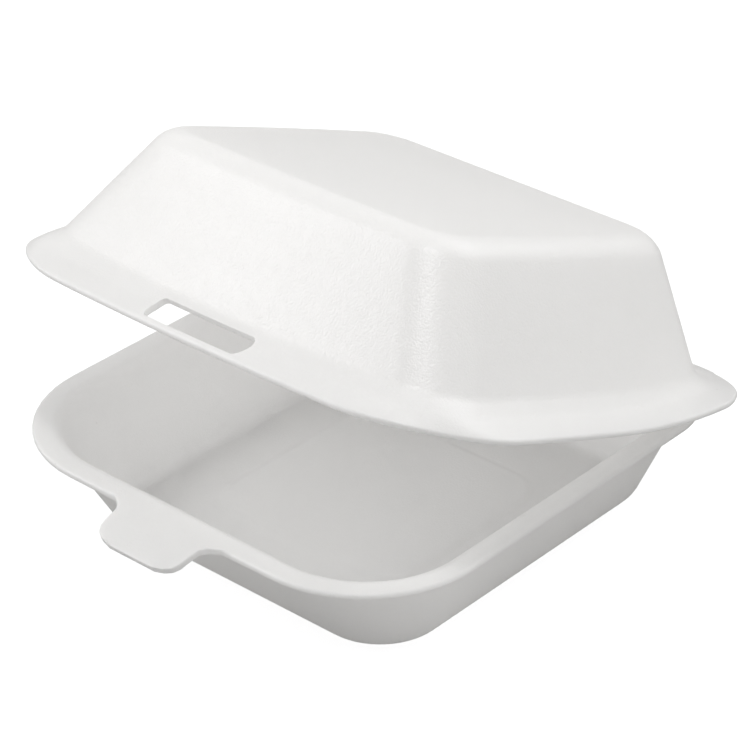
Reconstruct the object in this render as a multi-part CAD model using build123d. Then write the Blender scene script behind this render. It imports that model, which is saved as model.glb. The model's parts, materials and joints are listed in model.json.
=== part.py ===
"""Hinged foam food container: a shallow tray and a domed lid, joined along a pressed crease at the back.

The tray stands on the ground plane with the origin at the centre of its underside.
+X is to the right, -Y is the front with the locking tab, and the crease runs along X at the back.
Sizes are in millimetres and angles in degrees.
"""

from build123d import *

import math
import os

# Foam sheet
wall = 2.2
rim_thickness = 1.8

# Tray
tray_height = 34.0
floor_width = 114.0
floor_depth = 120.5
tray_side_reach = 18.0
tray_front_reach = 23.5
tray_back_reach = 10.0
tray_rim_corner = 37.0
tray_hinge_corner = 26.0
tray_lip = 7.0
tray_back_lip = 5.5
tray_front_corner = 26.0
tray_back_corner = 19.0
floor_edge_round = 3.5
floor_inner_round = 5.5
tray_mouth_round = 3.0

# Raised panel in the middle of the tray's floor
panel_width = 72.0
panel_depth = 70.0
panel_corner = 12.0
panel_rise = 0.8
panel_slope_run = 1.6

# Locking tab on the front rim
tab_width = 31.0
tab_reach = 14.0
tab_corner = 8.0
tab_root_round = 4.0

# Lid rim, which hangs below the crease and sweeps up to it at the back
lid_width = 172.0
lid_depth = 155.0
lid_drop = 6.5
lid_sweep_length = 58.0
lid_rim_corner = 32.0
lid_hinge_corner = 20.0
lid_bow = 1.5
lid_front_bow = 2.0
lid_side_lip = 6.6
lid_front_lip = 8.3
lid_back_lip = 7.0
lid_level_back = 11.0

# Step and shoulder between the lid's rim and its dome
step_top = 2.6
step_draft = 14.0
step_corner = 18.0
step_hinge_corner = 12.0
shoulder_chamfer = 1.4
shoulder_ledge = 0.6

# Dome of the lid
lid_height = 38.5
dome_corner = 15.0
lid_top_width = 107.0
lid_top_depth = 106.0
lid_top_setback = 20.0
lid_top_round = 9.0

# Slot for the tab, at the foot of the lid's front step
slot_length = 35.0
slot_width = 3.0
slot_corner = 1.2
slot_lead = 0.4
slot_height = 7.0

# Crease
crease_gap = 0.3
rim_gap = 0.3
open_angle = 21.5

# Places worked out from the sizes above
hinge_y = floor_depth / 2 + tray_back_reach
crease_edge = hinge_y - crease_gap / 2
tray_rim_width = floor_width + 2 * tray_side_reach
tray_rim_front = -floor_depth / 2 - tray_front_reach
lid_front = hinge_y - lid_depth
step_front = lid_front + lid_front_lip
step_back = crease_edge - lid_back_lip
sweep_end = crease_edge - lid_level_back
sweep_start = sweep_end - lid_sweep_length
step_height = step_top + lid_drop
dome_foot_inset = step_height * math.tan(math.radians(step_draft)) + shoulder_chamfer + shoulder_ledge

# How far the tapered shells reach to the side, the front and the back, at their foot and their top
tray_foot = (floor_width / 2, floor_depth / 2, floor_depth / 2)
tray_shell_top = (
    tray_rim_width / 2 - tray_lip + wall,
    -tray_rim_front - tray_lip + wall,
    crease_edge - tray_back_lip + wall,
)
dome_foot = (
    lid_width / 2 - lid_side_lip - dome_foot_inset,
    -step_front - dome_foot_inset,
    step_back - dome_foot_inset,
)
dome_top = (
    lid_top_width / 2,
    lid_top_depth + lid_top_setback - crease_edge,
    crease_edge - lid_top_setback,
)


def rounded_plan(width, front, back, front_corner, back_corner):
    """Straight-sided plan outline with rounded corners."""
    outline = Pos(0, (front + back) / 2) * Rectangle(width, back - front)
    outline = fillet(outline.vertices().sort_by(Axis.Y)[:2], front_corner)
    return fillet(outline.vertices().sort_by(Axis.Y)[-2:], back_corner)


def level_edges(solid, height):
    """Edges of the solid that lie level at one height."""
    tolerance = 1e-3
    return solid.edges().filter_by(
        lambda edge: all(abs(vertex.Z - height) < tolerance for vertex in edge.vertices())
    )


def opening_edges(solid, height):
    """Edges of the opening in the flat face at one height."""
    flat_faces = solid.faces().filter_by(Plane.XY)
    face = flat_faces.sort_by(lambda flat: abs(flat.center().Z - height))[0]
    return face.inner_wires()[0].edges()


def rising_edges(solid):
    """Edges of the solid whose two ends lie at different heights."""
    tolerance = 1e-3
    return solid.edges().filter_by(
        lambda edge: abs(edge.vertices()[0].Z - edge.vertices()[-1].Z) > tolerance
    )


def tapered_block(foot, top, low, high, front_corner, back_corner):
    """Block with flat sloping sides and rounded corners, from its reaches at a low and a high level."""
    side_low, front_low, back_low = foot
    side_high, front_high, back_high = top
    front_view = Polyline(
        (-side_low, low), (side_low, low), (side_high, high), (-side_high, high), close=True
    )
    side_view = Polyline(
        (-front_low, low), (back_low, low), (back_high, high), (-front_high, high), close=True
    )
    block = extrude(Plane.XZ * make_face(front_view), lid_depth, both=True)
    block = block & extrude(Plane.YZ * make_face(side_view), lid_width, both=True)
    block = fillet(rising_edges(block).sort_by(Axis.Y)[:2], front_corner)
    return fillet(rising_edges(block).sort_by(Axis.Y)[-2:], back_corner)


def inner_reaches(foot, top, low, high, level):
    """Reaches at one level of the space that lies one sheet thickness inside a tapered block."""
    reaches = []
    for near, far in zip(foot, top):
        slope = (far - near) / (high - low)
        reaches.append(near + slope * (level - low) - wall * math.hypot(1, slope))
    return reaches


def floor_panel():
    """Low raised panel in the middle of the floor, with sloping sides, standing on the ground plane."""
    draft = math.degrees(math.atan(panel_slope_run / panel_rise))
    return extrude(RectangleRounded(panel_width, panel_depth, panel_corner), panel_rise, taper=draft)


def tray_cavity():
    """Space inside the tray, with a rounded foot to its walls and the raised panel in its floor."""
    foot = inner_reaches(tray_foot, tray_shell_top, 0, tray_height, wall)
    top = inner_reaches(tray_foot, tray_shell_top, 0, tray_height, tray_height)
    space = tapered_block(
        foot, top, wall, tray_height, tray_front_corner - wall, tray_back_corner - wall
    )
    space = fillet(level_edges(space, wall), floor_inner_round)
    return space - Pos(0, 0, wall) * floor_panel()


def tray_rim():
    """Flat rim of the tray with the locking tab, cut from one sheet."""
    rim = rounded_plan(tray_rim_width, tray_rim_front, crease_edge, tray_rim_corner, tray_hinge_corner)
    outline = rim + Pos(0, tray_rim_front) * RectangleRounded(tab_width, 2 * tab_reach, tab_corner)
    tolerance = 1e-3
    tab_sides = outline.vertices().filter_by(
        lambda vertex: abs(abs(vertex.X) - tab_width / 2) < tolerance
    )
    outline = fillet(tab_sides.sort_by(Axis.Y)[-2:], tab_root_round)
    return extrude(outline, rim_thickness)


def tray():
    """Shallow lower half: sloping walls, flat rim and locking tab."""
    outside = tapered_block(
        tray_foot, tray_shell_top, 0, tray_height, tray_front_corner, tray_back_corner
    )
    outside = fillet(level_edges(outside, 0), floor_edge_round)
    body = outside + Pos(0, 0, tray_height - rim_thickness) * tray_rim()
    body = body - tray_cavity()
    return fillet(opening_edges(body, tray_height), tray_mouth_round)


def lid_rim_plan():
    """Outer outline of the lid's rim, with bowed sides and front."""
    half = lid_width / 2
    side = half - lid_bow
    nose = lid_front + lid_front_bow
    middle = (nose + crease_edge) / 2
    outline = make_face(
        [
            ThreePointArc((-side, nose), (0, lid_front), (side, nose)),
            ThreePointArc((side, nose), (half, middle), (side, crease_edge)),
            Line((side, crease_edge), (-side, crease_edge)),
            ThreePointArc((-side, crease_edge), (-half, middle), (-side, nose)),
        ]
    )
    outline = fillet(outline.vertices().sort_by(Axis.Y)[:2], lid_rim_corner)
    return fillet(outline.vertices().sort_by(Axis.Y)[-2:], lid_hinge_corner)


def lip_sweep(lift):
    """Side view of the lid's rim: level at the front, then sweeping up to the crease at the back."""
    halfway = (sweep_start + sweep_end) / 2
    low = lift - lid_drop
    return [
        Line((lid_front, low), (sweep_start, low)),
        ThreePointArc((sweep_start, low), (halfway, low + lid_drop / 4), (sweep_end, lift)),
        Line((sweep_end, lift), (hinge_y, lift)),
    ]


def across(side_view):
    """Solid that has one side view over more than the lid's whole width."""
    return extrude(Plane.YZ * make_face(side_view), lid_width, both=True)


def lid_lip():
    """Swept rim of the lid, one sheet thick."""
    front_end = Line((lid_front, -lid_drop), (lid_front, rim_thickness - lid_drop))
    back_end = Line((hinge_y, 0), (hinge_y, rim_thickness))
    band = across(lip_sweep(0) + lip_sweep(rim_thickness) + [front_end, back_end])
    return band & Pos(0, 0, -lid_drop) * extrude(lid_rim_plan(), lid_drop + rim_thickness)


def space_below_lip():
    """Space under the lid's swept rim, down to the level of its front."""
    base = Line((sweep_start, -lid_drop), (hinge_y, -lid_drop))
    back_end = Line((hinge_y, -lid_drop), (hinge_y, 0))
    return across(lip_sweep(0)[1:] + [base, back_end])


def lid_step(inset, height):
    """Drafted block from the level of the lid's front rim up, inside the foot of the step by the inset."""
    outline = rounded_plan(
        lid_width - 2 * (lid_side_lip + inset),
        step_front + inset,
        step_back - inset,
        step_corner - inset,
        step_hinge_corner - inset,
    )
    return extrude(Pos(0, 0, -lid_drop) * outline, height, taper=step_draft)


def lid_cavity():
    """Space inside the lid, one sheet thickness inside its step, dome and top."""
    top_level = lid_height - wall
    foot = inner_reaches(dome_foot, dome_top, step_top, lid_height, -lid_drop)
    top = inner_reaches(dome_foot, dome_top, step_top, lid_height, top_level)
    corner = dome_corner - wall
    dome_space = tapered_block(foot, top, -lid_drop, top_level, corner, corner)
    dome_space = fillet(level_edges(dome_space, top_level), lid_top_round - wall)
    step_skin = wall / math.cos(math.radians(step_draft))
    return dome_space + lid_step(step_skin, step_height - wall)


def tab_slot():
    """Cut through the foot of the lid's front step that the tab tucks into."""
    centre = step_front - slot_lead + slot_width / 2
    outline = Pos(0, centre, -lid_drop) * RectangleRounded(slot_length, slot_width, slot_corner)
    return extrude(outline, slot_height)


def lid():
    """Domed upper half as it lies shut on the tray, with its stepped foot, wide rim and slot."""
    dome = tapered_block(dome_foot, dome_top, step_top, lid_height, dome_corner, dome_corner)
    dome = fillet(level_edges(dome, lid_height), lid_top_round)
    step = lid_step(0, step_height)
    step = chamfer(level_edges(step, step_top), shoulder_chamfer)
    body = dome + step + lid_lip()
    return body - lid_cavity() - space_below_lip() - tab_slot()


hinge = Axis((0, hinge_y, tray_height), (-1, 0, 0))
shut_lid = Pos(0, 0, tray_height + rim_gap) * lid()

os.makedirs("parts", exist_ok=True)
export_step(tray(), "parts/base_tray.step")
export_step(shut_lid.rotate(hinge, open_angle), "parts/lid.step")
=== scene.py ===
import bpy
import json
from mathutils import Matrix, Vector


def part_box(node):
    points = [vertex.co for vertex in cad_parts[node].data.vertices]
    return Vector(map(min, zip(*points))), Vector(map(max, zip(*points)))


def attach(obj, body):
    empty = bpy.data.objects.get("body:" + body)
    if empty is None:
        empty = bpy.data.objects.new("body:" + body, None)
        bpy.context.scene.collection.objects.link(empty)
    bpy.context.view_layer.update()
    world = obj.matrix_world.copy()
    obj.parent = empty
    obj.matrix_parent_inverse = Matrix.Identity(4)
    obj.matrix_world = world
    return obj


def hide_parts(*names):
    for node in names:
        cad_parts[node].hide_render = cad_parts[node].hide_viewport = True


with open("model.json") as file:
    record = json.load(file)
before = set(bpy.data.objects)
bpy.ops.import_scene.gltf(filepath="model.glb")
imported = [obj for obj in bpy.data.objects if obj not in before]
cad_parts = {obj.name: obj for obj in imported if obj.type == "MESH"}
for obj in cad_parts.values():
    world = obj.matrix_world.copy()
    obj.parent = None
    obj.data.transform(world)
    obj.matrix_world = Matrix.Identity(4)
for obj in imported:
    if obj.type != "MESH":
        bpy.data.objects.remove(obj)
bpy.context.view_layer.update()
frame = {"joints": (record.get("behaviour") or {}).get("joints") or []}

import json
import math

import bmesh
import bpy
from mathutils import Matrix, Vector

bl_info = {
    "name": "Foam clamshell container",
    "version": (1, 0, 0),
    "blender": (4, 5, 0),
    "location": "View3D > Sidebar > Foam box",
    "description": "Builds a hinged foam food container with its tray, lid, crease and studio stage",
    "category": "Object",
}

HINGE = frame["joints"][0]
CREASE = Vector(HINGE["pos_m"])
TRAY_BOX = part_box("base_tray")

# Mesh: steps of each rounded corner, cuts of each straight side, and tolerances
CORNER_STEPS = 14
SIDE_CUTS = 15
MERGE_DISTANCE = 1e-6
CUT_TOLERANCE = 1e-7

# Roundings along the pressed bends, each with its reach and its steps
PANEL_BEND = (0.0007, 2)
DOME_FOOT_BEND = (0.0012, 4)
STEP_TOP_BEND = (0.0009, 4)
STEP_FOOT_BEND = (0.0013, 5)

# Share of a bend's radius that its rounding reaches along each side, and its steps
FLOOR_BEND = (0.7, 6)
MOUTH_BEND = (0.62, 5)
TOP_BEND = (0.56, 8)

# Cut edges: steps of the roundings, the turn that counts as sharp, and the share of the rounding on the tab
RIM_EDGE_STEPS = 5
SLOT_EDGE_STEPS = 2
SHARP_TURN = math.radians(60)
TAB_EDGE_SHARE = 0.3

# Tab: how far its root spreads at each side, and its half widths along its reach, as shares
TAB_ROOT = 0.0045
TAB_STATIONS = (
    (0.12, 0.86), (0.26, 0.785), (0.50, 0.765), (0.72, 0.745), (0.85, 0.69), (0.94, 0.585), (1.0, 0.41)
)
TAB_SIDE_TOLERANCE = 1e-5

# Slot: distance below the top of the step, room round it that is cut, and turns of its corner planes
SLOT_HEAD = 0.0006
SLOT_DEPTH = 0.006
SLOT_CORNER_TURNS = [math.radians(turn) for turn in (18, 36, 54, 72)]

# Crease: half of the gap between the halves, the band whose edges stay sharp, and the web with its place
HALF_GAP = 0.00015
CREASE_EDGE = 0.001
WEB_RADIUS = 0.0005
WEB_STEPS = 12
WEB_SET_BACK = 0.0004
WEB_RAISE = 0.0001

# Foam: scale and detail of the noises, shape of the cells, changes of gloss, and fixed values of the shader
WAVES = (1500.0, 1.0)
MOTTLE = (55.0, 3.0)
CELL_DOMING = -0.8
CELL_WALLS = (0.25, 0.75)
GLOSS_CHANGE = 0.03
BUMP_STRENGTH = 0.5
FOAM_IOR = 1.5
FOAM_SPECULAR = 1.0

# Stage: floor, sensor, and the lights with their place, aim, size and power
FLOOR_SIZE = 6.0
FLOOR_ROUGHNESS = 0.9
SENSOR_WIDTH = 36.0
CLIP_START = 0.01
WHITE = (1, 1, 1, 1)
OBJECT_MIDDLE = Vector((0, 0, 0.05))
TRAY_FLOOR = Vector((0, 0, 0))
LIGHTS = (
    ("Key softbox", (-0.9, -0.65, 1.1), OBJECT_MIDDLE, 0.5, 6.4),
    ("Top softbox", (0.3, -0.15, 1.2), OBJECT_MIDDLE, 0.16, 3.3),
    ("Back softbox", (0.3, 1.2, 0.9), OBJECT_MIDDLE, 0.9, 6.8),
    ("Low left card", (-1.25, -0.5, 0.12), OBJECT_MIDDLE, 0.9, 6.4),
    ("Right card", (1.2, 0.2, 0.35), OBJECT_MIDDLE, 0.9, 1.7),
    ("Fill in the box", (0.0, 0.0, 0.064), TRAY_FLOOR, 0.09, 0.017),
)


def length(name, description, default):
    """A size in metres that the user can change."""
    return bpy.props.FloatProperty(
        name=name, description=description, default=default, unit="LENGTH", precision=4
    )


def angle(name, description, degrees):
    """An angle that the user can change."""
    return bpy.props.FloatProperty(
        name=name, description=description, default=math.radians(degrees), unit="ROTATION"
    )


def tint(name, description, default):
    """A colour that the user can change."""
    return bpy.props.FloatVectorProperty(
        name=name, description=description, default=default, size=3, min=0, max=1, subtype="COLOR"
    )


def amount(name, description, default):
    """A plain number that the user can change."""
    return bpy.props.FloatProperty(name=name, description=description, default=default)


class FoamSheet(bpy.types.PropertyGroup):
    """Sizes of the foam sheet that the container is pressed from."""

    wall: length("Wall", "Thickness of the walls, floor and top", 0.0021)
    cut_edge: length("Cut edge", "Rounding of the die-cut edges of the rims", 0.001)
    slot_edge: length("Slot edge", "Rounding of the edges of the slot", 0.0003)


class TraySizes(bpy.types.PropertyGroup):
    """Sizes of the shallow lower half."""

    height: length("Height", "Height of the rim above the ground", CREASE.z)
    rim_width: length("Rim width", "Width over the rim", TRAY_BOX[1].x - TRAY_BOX[0].x)
    rim_front: length("Rim front", "Distance of the front rim from the origin", 0.08375)
    rim_corner: length("Rim corner", "Radius of the rim's front corners", 0.037)
    hinge_corner: length("Hinge corner", "Radius of the rim's corners at the crease", 0.026)
    front_bow: length("Front bow", "How far the front rim bulges in its middle", 0.0004)
    lip: length("Lip", "Width of the flat rim at the sides and the front", 0.0072)
    back_lip: length("Back lip", "Width of the flat rim at the crease", 0.0055)
    mouth_round: length("Mouth round", "Rounding from the rim into the walls", 0.0042)
    floor_width: length("Floor width", "Width of the underside", 0.114)
    floor_depth: length("Floor depth", "Depth of the underside", 0.1205)
    floor_corner: length("Floor corner", "Radius of the underside's corners", 0.019)
    floor_round: length("Floor round", "Rounding from the walls into the floor", 0.0056)
    panel_width: length("Panel width", "Width of the raised panel in the floor", 0.072)
    panel_depth: length("Panel depth", "Depth of the raised panel in the floor", 0.070)
    panel_corner: length("Panel corner", "Radius of the panel's corners", 0.012)
    panel_rise: length("Panel rise", "Height of the panel over the floor", 0.0008)
    panel_slope: length("Panel slope", "Run of the panel's sloping edge", 0.0022)
    tab_width: length("Tab width", "Width of the locking tab", 0.0305)
    tab_reach: length("Tab reach", "How far the tab stands out from the rim", 0.0142)
    tab_droop: length("Tab droop", "How far the tab's tip hangs down", 0.0035)


class LidSizes(bpy.types.PropertyGroup):
    """Sizes of the domed upper half, as it lies shut."""

    open_angle: angle("Open angle", "How far the lid stands open at rest", 21.5)
    rim_width: length("Rim width", "Width over the rim, without its bow", 0.1653)
    rim_depth: length("Rim depth", "Depth from the crease to the front rim, without its bow", 0.1493)
    side_bow: length("Side bow", "How far the sides bulge in their middle", 0.0034)
    front_bow: length("Front bow", "How far the front bulges in its middle", 0.0063)
    rim_corner: length("Rim corner", "Radius of the rim's front corners", 0.032)
    hinge_corner: length("Hinge corner", "Radius of the rim's corners at the crease", 0.0204)
    drop: length("Drop", "How far the rim hangs below the crease", 0.0065)
    sweep: length("Sweep", "Length over which the rim sweeps up to the crease", 0.058)
    level_back: length("Level back", "Length of the rim that is level at the crease", 0.011)
    lip: length("Lip", "Width of the rim outside the step, at the sides", 0.0071)
    front_lip: length("Front lip", "Width of the rim outside the step, at the front", 0.008)
    back_lip: length("Back lip", "Width of the rim outside the step, at the crease", 0.007)
    lip_rise: length("Lip rise", "How far the lip slopes up to the foot of the step", 0.0034)
    step_top: length("Step top", "Level of the top of the step over the crease", 0.0012)
    step_lift: length("Step lift", "How much higher the step is at the crease than at the front", 0.0014)
    step_run: length("Step run", "How far the riser of the step leans inwards", 0.0023)
    step_corner: length("Step corner", "Radius of the step's corners", 0.0125)
    shoulder: length("Shoulder", "Width of the shoulder between step and dome", 0.0016)
    shoulder_rise: length("Shoulder rise", "Height of the shoulder", 0.0016)
    dome_corner: length("Dome corner", "Radius of the corners at the foot of the dome", 0.0142)
    height: length("Height", "Height of the flat top over the crease", 0.0385)
    top_width: length("Top width", "Width of the flat top", 0.1062)
    top_front: length("Top front", "Distance of the top's front edge from the crease", 0.1254)
    top_back: length("Top back", "Distance of the top's back edge from the crease", 0.0201)
    top_bow: length("Top bow", "How far the top's sides and front bulge", 0.0017)
    top_corner: length("Top corner", "Radius of the top's corners", 0.0135)
    top_round: length("Top round", "Rounding from the dome's walls into its top", 0.0098)
    slot_length: length("Slot length", "Length of the slot for the tab", 0.0345)
    slot_foot: length("Slot foot", "Height of the slot's lower edge over the edge of the rim", 0.0008)
    slot_corner: length("Slot corner", "Radius of the slot's corners", 0.0019)
    rim_gap: length("Rim gap", "Room between the two rims at the crease", 0.0003)


class FoamFinish(bpy.types.PropertyGroup):
    """Colours and surface of the foam."""

    skin: tint("Skin", "Colour of the smooth foam skin", (0.985, 0.981, 0.975))
    cells: tint("Cells", "Colour between the foam cells", (0.968, 0.963, 0.955))
    specks: tint("Specks", "Colour of the few dark specks in the sheet", (0.55, 0.54, 0.51))
    cell_size: length("Cell size", "Size of the foam cells that show through the skin", 0.00055)
    cell_relief: length("Cell relief", "Height of the foam cells in the skin", 0.00016)
    speck_spacing: length("Speck spacing", "Usual distance between two specks", 0.007)
    speck_size: length("Speck size", "Radius of the largest specks", 0.00035)
    roughness: amount("Roughness", "Roughness of the skin", 0.31)
    see_through: amount("See-through", "Share of the light that the thin sheet lets through", 0.5)


class StageSettings(bpy.types.PropertyGroup):
    """Camera, floor and lights."""

    azimuth: angle("Azimuth", "Direction of the camera, from the front towards the right", 41.71)
    elevation: angle("Elevation", "Height of the camera", 30.67)
    roll: angle("Roll", "Turn of the camera about its own line of sight", -0.44)
    lens: bpy.props.FloatProperty(
        name="Lens", description="Focal length on a 36 mm sensor", default=146.4, unit="CAMERA"
    )
    distance: length("Distance", "Distance of the camera from the point that it looks at", 0.8606)
    target: bpy.props.FloatVectorProperty(
        name="Target", description="Point that the camera looks at",
        default=(-0.000797, 0.000292, 0.04126), unit="LENGTH", precision=4,
    )
    floor_colour: tint("Floor", "Colour of the floor", (0.20, 0.20, 0.20))
    floor_glow: amount("Floor glow", "How much brighter the floor looks to the camera than to the object", 0.9)
    room: amount("Room", "Brightness of the white room", 0.62)


class FoamBox(bpy.types.PropertyGroup):
    """All the settings of the container and its stage."""

    sheet: bpy.props.PointerProperty(name="Sheet", description="Foam sheet", type=FoamSheet)
    tray: bpy.props.PointerProperty(name="Tray", description="Shallow lower half", type=TraySizes)
    lid: bpy.props.PointerProperty(name="Lid", description="Domed upper half", type=LidSizes)
    finish: bpy.props.PointerProperty(name="Finish", description="Colours and surface", type=FoamFinish)
    stage: bpy.props.PointerProperty(name="Stage", description="Camera, floor and lights", type=StageSettings)


def ring(bm, width, front, back, level, front_corner, back_corner, side_bow=0.0, front_bow=0.0):
    """Closed level outline with rounded corners and bowed sides and front, as a loop of edges."""
    half = width / 2
    spots = ((-half, front), (half, front), (half, back), (-half, back))
    corners = [bm.verts.new((x, y, level)) for x, y in spots]
    bm.faces.new(corners)
    for pair, radius in ((corners[:2], front_corner), (corners[2:], back_corner)):
        bmesh.ops.bevel(
            bm, geom=pair, offset=radius, offset_type="OFFSET", segments=CORNER_STEPS, profile=0.5,
            affect="VERTICES", material=-1, clamp_overlap=False,
        )
    face = next(iter(bm.faces))
    longest = sorted(face.edges, key=lambda edge: edge.calc_length())[-4:]
    bmesh.ops.subdivide_edges(bm, edges=longest, cuts=SIDE_CUTS)
    face = next(iter(bm.faces))
    points = list(face.verts)
    edges = list(face.edges)
    bmesh.ops.delete(bm, geom=[face], context="FACES_ONLY")
    middle = (front + back) / 2
    for point in points:
        across = point.co.x / half
        along = (point.co.y - middle) / ((back - front) / 2)
        point.co.x += side_bow * across * (1 - along ** 2)
        if along < 0:
            point.co.y += front_bow * along * (1 - across ** 2)
    return edges


def loop_points(edges):
    """Vertices of a loop of edges."""
    return list({point for edge in edges for point in edge.verts})


def join_rings(bm, rings):
    """Joins each ring to the next with a band of faces."""
    for lower, upper in zip(rings, rings[1:]):
        bmesh.ops.bridge_loops(bm, edges=lower + upper)


def round_loop(bm, edges, size, steps):
    """Rounds the sharp turn along a ring."""
    bmesh.ops.bevel(
        bm, geom=edges, offset=size, offset_type="OFFSET", segments=steps, profile=0.5,
        affect="EDGES", material=-1, clamp_overlap=False,
    )


def mark_rim(bm, tab_root=None):
    """Marks the open edges of the sheet for rounding: all but those along the crease, and the tab's less."""
    weight = bm.edges.layers.float.new("bevel_weight_edge")
    for edge in bm.edges:
        frontmost = min(point.co.y for point in edge.verts)
        if edge.is_boundary and frontmost < CREASE.y - CREASE_EDGE:
            edge[weight] = TAB_EDGE_SHARE if tab_root and frontmost < tab_root else 1.0


def finish_shell(bm, name):
    """Makes a pressed foam sheet of the surface in bm, thickened away from its upper side."""
    bmesh.ops.remove_doubles(bm, verts=bm.verts, dist=MERGE_DISTANCE)
    bmesh.ops.recalc_face_normals(bm, faces=bm.faces)
    if sum(face.normal.z * face.calc_area() for face in bm.faces) < 0:
        bmesh.ops.reverse_faces(bm, faces=bm.faces)
    for face in bm.faces:
        face.smooth = True
    mesh = bpy.data.meshes.new(name)
    bm.to_mesh(mesh)
    bm.free()
    piece = bpy.data.objects.new(name, mesh)
    bpy.context.scene.collection.objects.link(piece)
    mesh.materials.append(shared_foam())
    settings = bpy.context.scene.foam_box.sheet
    sheet = piece.modifiers.new("Sheet thickness", "SOLIDIFY")
    sheet.thickness = settings.wall
    sheet.offset = -1.0
    sheet.use_even_offset = True
    sheet.use_quality_normals = True
    rim = piece.modifiers.new("Rim edges", "BEVEL")
    rim.width = settings.cut_edge
    rim.segments = RIM_EDGE_STEPS
    rim.limit_method = "WEIGHT"
    rim.use_clamp_overlap = False
    slot = piece.modifiers.new("Slot edges", "BEVEL")
    slot.width = settings.slot_edge
    slot.segments = SLOT_EDGE_STEPS
    slot.limit_method = "ANGLE"
    slot.angle_limit = SHARP_TURN
    return piece


def new_group(name, inputs, outputs):
    """Empty shader node group with its sockets, and its start and end nodes."""
    group = bpy.data.node_groups.new(name, "ShaderNodeTree")
    for label, kind in inputs:
        group.interface.new_socket(label, in_out="INPUT", socket_type=kind)
    for label in outputs:
        group.interface.new_socket(label, in_out="OUTPUT", socket_type="NodeSocketFloat")
    return group, group.nodes.new("NodeGroupInput"), group.nodes.new("NodeGroupOutput")


def math_node(tree, operation, first, second):
    """Math node on two values, each a socket or a number, and its output."""
    node = tree.nodes.new("ShaderNodeMath")
    node.operation = operation
    for socket, value in zip(node.inputs, (first, second)):
        if isinstance(value, bpy.types.NodeSocket):
            tree.links.new(value, socket)
        else:
            socket.default_value = value
    return node.outputs[0]


def ramp(tree, value, low, high, start=0.0, end=1.0):
    """Maps a value between two limits to a range, and its output."""
    node = tree.nodes.new("ShaderNodeMapRange")
    tree.links.new(value, node.inputs["Value"])
    for label, limit in (("From Min", low), ("From Max", high), ("To Min", start), ("To Max", end)):
        if isinstance(limit, bpy.types.NodeSocket):
            tree.links.new(limit, node.inputs[label])
        else:
            node.inputs[label].default_value = limit
    return node.outputs["Result"]


def foam_cells():
    """Node group with the foam cells under a thin skin, slow changes of the skin, and a few specks."""
    group, start, end = new_group(
        "Foam cells",
        (
            ("Coordinates", "NodeSocketVector"),
            ("Cell size", "NodeSocketFloat"),
            ("Speck spacing", "NodeSocketFloat"),
            ("Speck size", "NodeSocketFloat"),
        ),
        ("Height", "Walls", "Mottle", "Specks"),
    )
    place = start.outputs["Coordinates"]

    def texture(kind, scale, detail=None):
        """Texture node on the group's coordinates."""
        node = group.nodes.new(kind)
        group.links.new(place, node.inputs["Vector"])
        if isinstance(scale, bpy.types.NodeSocket):
            group.links.new(scale, node.inputs["Scale"])
        else:
            node.inputs["Scale"].default_value = scale
        if detail is not None:
            node.inputs["Detail"].default_value = detail
        return node

    cells = texture("ShaderNodeTexVoronoi", math_node(group, "DIVIDE", 1.0, start.outputs["Cell size"]))
    waves = texture("ShaderNodeTexNoise", *WAVES)
    mottle = texture("ShaderNodeTexNoise", *MOTTLE)
    domes = math_node(group, "MULTIPLY", cells.outputs["Distance"], CELL_DOMING)
    group.links.new(math_node(group, "ADD", domes, waves.outputs["Fac"]), end.inputs["Height"])
    group.links.new(ramp(group, cells.outputs["Distance"], *CELL_WALLS), end.inputs["Walls"])
    group.links.new(mottle.outputs["Fac"], end.inputs["Mottle"])
    grid = math_node(group, "DIVIDE", 1.0, start.outputs["Speck spacing"])
    dots = texture("ShaderNodeTexVoronoi", grid)
    away = math_node(group, "MULTIPLY", dots.outputs["Distance"], start.outputs["Speck spacing"])
    parts = group.nodes.new("ShaderNodeSeparateColor")
    group.links.new(dots.outputs["Color"], parts.inputs["Color"])
    size = math_node(group, "MULTIPLY", parts.outputs["Red"], start.outputs["Speck size"])
    group.links.new(ramp(group, away, size, 0.0), end.inputs["Specks"])
    return group


def mix_colours(tree, first, second, share):
    """Mix of two colours, each a socket or a colour, by a share, and its output."""
    node = tree.nodes.new("ShaderNodeMix")
    node.data_type = "RGBA"
    tree.links.new(share, node.inputs["Factor"])
    for label, value in (("A", first), ("B", second)):
        if isinstance(value, bpy.types.NodeSocket):
            tree.links.new(value, node.inputs[label])
        else:
            node.inputs[label].default_value = (*value, 1)
    return node.outputs["Result"]


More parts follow.
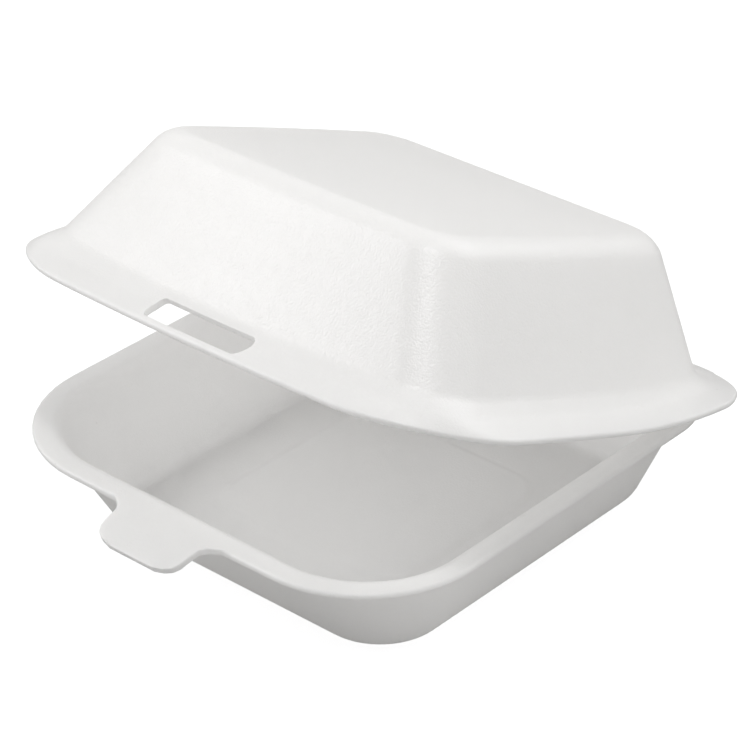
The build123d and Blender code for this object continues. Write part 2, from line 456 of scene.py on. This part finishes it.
def foam_material(finish):
    """Satin white foam: a thin smooth skin with cells that show faintly, and light that passes through."""
    material = bpy.data.materials.new("Pressed foam skin")
    material.use_nodes = True
    tree = material.node_tree
    nodes, links = tree.nodes, tree.links
    shader = nodes["Principled BSDF"]
    shader.inputs["IOR"].default_value = FOAM_IOR
    shader.inputs["Specular IOR Level"].default_value = FOAM_SPECULAR
    place = nodes.new("ShaderNodeTexCoord").outputs["Object"]
    cells = nodes.new("ShaderNodeGroup")
    cells.node_tree = foam_cells()
    cells.inputs["Cell size"].default_value = finish.cell_size
    cells.inputs["Speck spacing"].default_value = finish.speck_spacing
    cells.inputs["Speck size"].default_value = finish.speck_size
    links.new(place, cells.inputs["Coordinates"])
    colour = mix_colours(tree, finish.skin, finish.cells, cells.outputs["Walls"])
    colour = mix_colours(tree, colour, finish.specks, cells.outputs["Specks"])
    links.new(colour, shader.inputs["Base Color"])
    smoothest, roughest = finish.roughness - GLOSS_CHANGE, finish.roughness + GLOSS_CHANGE
    rough = ramp(tree, cells.outputs["Mottle"], 0.0, 1.0, smoothest, roughest)
    links.new(rough, shader.inputs["Roughness"])
    bump = nodes.new("ShaderNodeBump")
    bump.inputs["Strength"].default_value = BUMP_STRENGTH
    bump.inputs["Distance"].default_value = finish.cell_relief
    links.new(cells.outputs["Height"], bump.inputs["Height"])
    links.new(bump.outputs["Normal"], shader.inputs["Normal"])
    through = nodes.new("ShaderNodeBsdfTranslucent")
    through.inputs["Color"].default_value = (*finish.skin, 1)
    sheet = nodes.new("ShaderNodeMixShader")
    sheet.inputs["Fac"].default_value = finish.see_through
    links.new(shader.outputs["BSDF"], sheet.inputs[1])
    links.new(through.outputs["BSDF"], sheet.inputs[2])
    links.new(sheet.outputs["Shader"], nodes["Material Output"].inputs["Surface"])
    return material


def shared_foam():
    """The foam material, made once."""
    found = bpy.data.materials.get("Pressed foam skin")
    return found or foam_material(bpy.context.scene.foam_box.finish)


class FOAMBOX_OT_tray(bpy.types.Operator):
    """Build the shallow tray with its rim, raised floor panel and locking tab"""

    bl_idname = "foam_box.tray"
    bl_label = "Tray"

    def execute(self, context):
        settings = context.scene.foam_box
        tray, wall = settings.tray, settings.sheet.wall
        bm = bmesh.new()
        hinge = CREASE.y
        floor_back = tray.floor_depth / 2
        rim = ring(
            bm, tray.rim_width, -tray.rim_front, hinge - HALF_GAP, tray.height,
            tray.rim_corner, tray.hinge_corner, front_bow=tray.front_bow,
        )
        edge = ring(
            bm, tray.rim_width - 2 * tray.lip, -tray.rim_front + tray.lip, hinge - tray.back_lip, tray.height,
            tray.rim_corner - tray.lip, tray.hinge_corner - tray.lip,
        )
        low = ring(
            bm, tray.floor_width - 2 * wall, -floor_back + wall, floor_back - wall, wall,
            tray.floor_corner - wall, tray.floor_corner - wall,
        )
        panel_foot, panel_top = (
            ring(
                bm, tray.panel_width - 2 * inset, -tray.panel_depth / 2 + inset, tray.panel_depth / 2 - inset,
                wall + rise, tray.panel_corner - inset, tray.panel_corner - inset,
            )
            for inset, rise in ((0.0, 0.0), (tray.panel_slope, tray.panel_rise))
        )
        join_rings(bm, [rim, edge, low, panel_foot, panel_top])
        bmesh.ops.contextual_create(bm, geom=panel_top)
        round_loop(bm, panel_top + panel_foot, *PANEL_BEND)
        for bend, radius, (share, steps) in (
            (low, tray.floor_round, FLOOR_BEND),
            (edge, tray.mouth_round, MOUTH_BEND),
        ):
            round_loop(bm, bend, radius * share, steps)
        self.add_tab(bm, tray)
        mark_rim(bm, -tray.rim_front - 2 * tray.front_bow)
        piece = finish_shell(bm, "foam_tray")
        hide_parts("base_tray")
        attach(piece, "tray")
        return {"FINISHED"}

    @staticmethod
    def add_tab(bm, tray):
        """Draws the locking tab out of the front rim."""
        reach = tray.tab_width / 2 + TAB_ROOT
        for side in (-1, 1):
            bmesh.ops.bisect_plane(
                bm, geom=bm.verts[:] + bm.edges[:] + bm.faces[:], dist=CUT_TOLERANCE,
                plane_co=(side * reach, 0, 0), plane_no=(1, 0, 0),
            )
        front = [
            edge for edge in bm.edges
            if edge.is_boundary
            and all(abs(v.co.x) < reach + TAB_SIDE_TOLERANCE and v.co.y < 0 for v in edge.verts)
        ]
        start = -tray.rim_front - tray.front_bow
        for share, narrowing in TAB_STATIONS:
            made = bmesh.ops.extrude_edge_only(bm, edges=front)["geom"]
            front = [item for item in made if isinstance(item, bmesh.types.BMEdge) and item.is_boundary]
            points = [item for item in made if isinstance(item, bmesh.types.BMVert)]
            widest = max(abs(point.co.x) for point in points)
            for point in points:
                point.co.x *= reach * narrowing / widest
                point.co.y = start - tray.tab_reach * share
                point.co.z = tray.height - tray.tab_droop * share ** 2
            front = [edge for edge in front if all(v in points for v in edge.verts)]


class FOAMBOX_OT_lid(bpy.types.Operator):
    """Build the domed lid with its swept rim, step, shoulder and slot"""

    bl_idname = "foam_box.lid"
    bl_label = "Lid"

    def execute(self, context):
        settings = context.scene.foam_box
        lid = settings.lid
        bm = bmesh.new()
        hinge, base = CREASE.y, CREASE.z + lid.rim_gap
        front = hinge - lid.rim_depth
        bows = dict(side_bow=lid.side_bow, front_bow=lid.front_bow)
        rim = ring(bm, lid.rim_width, front, hinge - HALF_GAP, base, lid.rim_corner, lid.hinge_corner, **bows)
        inset = 0.0
        outlines = []
        for run, corner in (
            (0.0, lid.step_corner),
            (lid.step_run, lid.step_corner),
            (lid.shoulder, lid.dome_corner),
        ):
            inset += run
            outlines.append(ring(
                bm, lid.rim_width - 2 * (lid.lip + inset), front + lid.front_lip + inset,
                hinge - lid.back_lip - inset, base, corner, corner, **bows,
            ))
        step_foot, step_top, dome_foot = outlines
        top = ring(
            bm, lid.top_width, hinge - lid.top_front, hinge - lid.top_back, base + lid.height,
            lid.top_corner, lid.top_corner, lid.top_bow, lid.top_bow,
        )
        lip_top = base + settings.sheet.wall
        self.sweep(lid, rim, lip_top, lid.drop)
        self.sweep(lid, step_foot, lip_top, lid.drop - lid.lip_rise)
        step_level = base + lid.step_top + lid.step_lift
        self.sweep(lid, step_top, step_level, lid.step_lift)
        self.sweep(lid, dome_foot, step_level + lid.shoulder_rise, lid.step_lift)
        join_rings(bm, [rim, step_foot, step_top, dome_foot, top])
        bmesh.ops.contextual_create(bm, geom=top)
        share, steps = TOP_BEND
        round_loop(bm, top, lid.top_round * share, steps)
        round_loop(bm, dome_foot, *DOME_FOOT_BEND)
        round_loop(bm, step_top, *STEP_TOP_BEND)
        round_loop(bm, step_foot, *STEP_FOOT_BEND)
        mark_rim(bm)
        slot_low = lip_top - lid.drop + lid.slot_foot
        self.cut_slot(bm, lid, slot_low, base + lid.step_top - SLOT_HEAD)
        opening = Matrix.Rotation(-lid.open_angle, 3, "X")
        bmesh.ops.rotate(bm, verts=bm.verts, cent=CREASE, matrix=opening)
        piece = finish_shell(bm, "foam_lid")
        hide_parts("lid")
        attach(piece, "lid")
        return {"FINISHED"}

    @staticmethod
    def sweep(lid, edges, level, drop):
        """Hangs a ring by a drop below its level at the crease, with a sweep up to it at the back."""
        for point in loop_points(edges):
            to_crease = CREASE.y - point.co.y
            share = (lid.sweep + lid.level_back - to_crease) / lid.sweep
            share = min(max(share, 0.0), 1.0)
            point.co.z = level - drop * (1 - share ** 2)

    @staticmethod
    def cut_slot(bm, lid, low, high):
        """Cuts the slot for the tab, with rounded corners, out of the riser of the front step."""
        half, corner = lid.slot_length / 2, lid.slot_corner
        sides = [(Vector((0, 0, low)), Vector((0, 0, -1))), (Vector((0, 0, high)), Vector((0, 0, 1)))]
        for across in (-1, 1):
            sides.append((Vector((across * half, 0, 0)), Vector((across, 0, 0))))
            for level, upward in ((low, -1), (high, 1)):
                centre = Vector((across * (half - corner), 0, level - upward * corner))
                for turn in SLOT_CORNER_TURNS:
                    normal = Vector((across * math.cos(turn), 0, upward * math.sin(turn)))
                    sides.append((centre + normal * corner, normal))

        def riser():
            """Faces of the front step near the slot."""
            reach = CREASE.y - lid.rim_depth - lid.front_bow + lid.front_lip + SLOT_DEPTH
            return [
                face for face in bm.faces
                if abs(face.calc_center_median().x) < half + SLOT_DEPTH and face.calc_center_median().y < reach
            ]

        for place, normal in sides:
            faces = riser()
            edges = list({edge for face in faces for edge in face.edges})
            points = list({point for face in faces for point in face.verts})
            bmesh.ops.bisect_plane(
                bm, geom=points + edges + faces, dist=CUT_TOLERANCE, plane_co=place, plane_no=normal
            )
        cut = [
            face for face in riser()
            if all((face.calc_center_median() - place).dot(normal) < 0 for place, normal in sides)
        ]
        bmesh.ops.delete(bm, geom=cut, context="FACES")


class FOAMBOX_OT_crease(bpy.types.Operator):
    """Build the thin pressed web that joins tray and lid along the crease"""

    bl_idname = "foam_box.crease"
    bl_label = "Crease"

    def execute(self, context):
        tray = context.scene.foam_box.tray
        bm = bmesh.new()
        span = tray.rim_width - 2 * tray.hinge_corner
        bmesh.ops.create_circle(bm, cap_ends=True, radius=WEB_RADIUS, segments=WEB_STEPS)
        sideways = Matrix.Rotation(math.radians(90), 3, "Y")
        bmesh.ops.rotate(bm, verts=bm.verts, cent=(0, 0, 0), matrix=sideways)
        made = bmesh.ops.extrude_face_region(bm, geom=bm.faces[:])["geom"]
        end = [item for item in made if isinstance(item, bmesh.types.BMVert)]
        bmesh.ops.translate(bm, verts=end, vec=(span, 0, 0))
        place = (-span / 2, CREASE.y - WEB_SET_BACK, CREASE.z + WEB_RAISE)
        bmesh.ops.translate(bm, verts=bm.verts, vec=place)
        bmesh.ops.recalc_face_normals(bm, faces=bm.faces)
        mesh = bpy.data.meshes.new("crease_web")
        bm.to_mesh(mesh)
        bm.free()
        mesh.materials.append(shared_foam())
        piece = bpy.data.objects.new("crease_web", mesh)
        context.scene.collection.objects.link(piece)
        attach(piece, "tray")
        return {"FINISHED"}


class FOAMBOX_OT_stage(bpy.types.Operator):
    """Set up the floor, the soft lights and the camera"""

    bl_idname = "foam_box.stage"
    bl_label = "Stage"

    def execute(self, context):
        scene = context.scene
        stage = scene.foam_box.stage
        self.floor(scene, stage)
        self.lights(scene)
        self.camera(scene, stage)
        scene.view_settings.view_transform = "Standard"
        scene.view_settings.look = "None"
        return {"FINISHED"}

    @staticmethod
    def floor(scene, stage):
        """Lays a plain pale floor."""
        bm = bmesh.new()
        bmesh.ops.create_grid(bm, x_segments=1, y_segments=1, size=FLOOR_SIZE)
        mesh = bpy.data.meshes.new("studio_floor")
        bm.to_mesh(mesh)
        bm.free()
        floor = bpy.data.objects.new("studio_floor", mesh)
        scene.collection.objects.link(floor)
        material = bpy.data.materials.new("Pale studio floor")
        material.use_nodes = True
        nodes, links = material.node_tree.nodes, material.node_tree.links
        shader = nodes["Principled BSDF"]
        shader.inputs["Base Color"].default_value = (*stage.floor_colour, 1)
        shader.inputs["Roughness"].default_value = FLOOR_ROUGHNESS
        shader.inputs["Emission Color"].default_value = WHITE
        rays = nodes.new("ShaderNodeLightPath")
        glow = nodes.new("ShaderNodeMath")
        glow.operation = "MULTIPLY"
        glow.inputs[1].default_value = stage.floor_glow
        links.new(rays.outputs["Is Camera Ray"], glow.inputs[0])
        links.new(glow.outputs[0], shader.inputs["Emission Strength"])
        mesh.materials.append(material)

    @staticmethod
    def lights(scene):
        """Hangs soft lights round the object, in a bright white room."""
        world = bpy.data.worlds.new("White studio")
        world.use_nodes = True
        scene.world = world
        background = world.node_tree.nodes["Background"]
        background.inputs["Color"].default_value = WHITE
        background.inputs["Strength"].default_value = scene.foam_box.stage.room
        for name, place, aim, size, power in LIGHTS:
            light = bpy.data.lights.new(name, "AREA")
            light.shape = "SQUARE"
            light.size = size
            light.energy = power
            lamp = bpy.data.objects.new(name, light)
            scene.collection.objects.link(lamp)
            lamp.visible_camera = False
            lamp.location = place
            lamp.rotation_euler = (aim - Vector(place)).to_track_quat("-Z", "Y").to_euler()

    @staticmethod
    def camera(scene, stage):
        """Stands the camera where the photograph was taken from."""
        azimuth, elevation, roll = stage.azimuth, stage.elevation, stage.roll
        back = Vector((
            math.sin(azimuth) * math.cos(elevation),
            -math.cos(azimuth) * math.cos(elevation),
            math.sin(elevation),
        ))
        right = Vector((math.cos(azimuth), math.sin(azimuth), 0))
        up = back.cross(right)
        across = right * math.cos(roll) + up * math.sin(roll)
        upright = up * math.cos(roll) - right * math.sin(roll)
        data = bpy.data.cameras.new("Photo camera")
        data.sensor_fit = "HORIZONTAL"
        data.sensor_width = SENSOR_WIDTH
        data.lens = stage.lens
        data.clip_start = CLIP_START
        camera = bpy.data.objects.new("Photo camera", data)
        scene.collection.objects.link(camera)
        turn = Matrix((across, upright, back)).transposed().to_4x4()
        camera.matrix_world = Matrix.Translation(Vector(stage.target) + back * stage.distance) @ turn
        scene.camera = camera


class FOAMBOX_PT_panel(bpy.types.Panel):
    """Lists the pieces of the container"""

    bl_idname = "FOAMBOX_PT_panel"
    bl_label = "Foam box"
    bl_space_type = "VIEW_3D"
    bl_region_type = "UI"
    bl_category = "Foam box"

    def draw(self, context):
        for piece in PIECES:
            self.layout.operator(piece.bl_idname)


PIECES = (FOAMBOX_OT_tray, FOAMBOX_OT_lid, FOAMBOX_OT_crease, FOAMBOX_OT_stage)
GROUPS = (FoamSheet, TraySizes, LidSizes, FoamFinish, StageSettings, FoamBox)
CLASSES = GROUPS + PIECES + (FOAMBOX_PT_panel,)


def register():
    """Makes the settings, the operators and the panel known to Blender."""
    for each in CLASSES:
        bpy.utils.register_class(each)
    bpy.types.Scene.foam_box = bpy.props.PointerProperty(type=FoamBox)


def unregister():
    """Takes the settings, the operators and the panel out of Blender again."""
    del bpy.types.Scene.foam_box
    for each in reversed(CLASSES):
        bpy.utils.unregister_class(each)


def main():
    """Builds the container and its stage."""
    register()
    bpy.ops.foam_box.tray()
    bpy.ops.foam_box.lid()
    bpy.ops.foam_box.crease()
    bpy.ops.foam_box.stage()


if __name__ == "__main__":
    main()
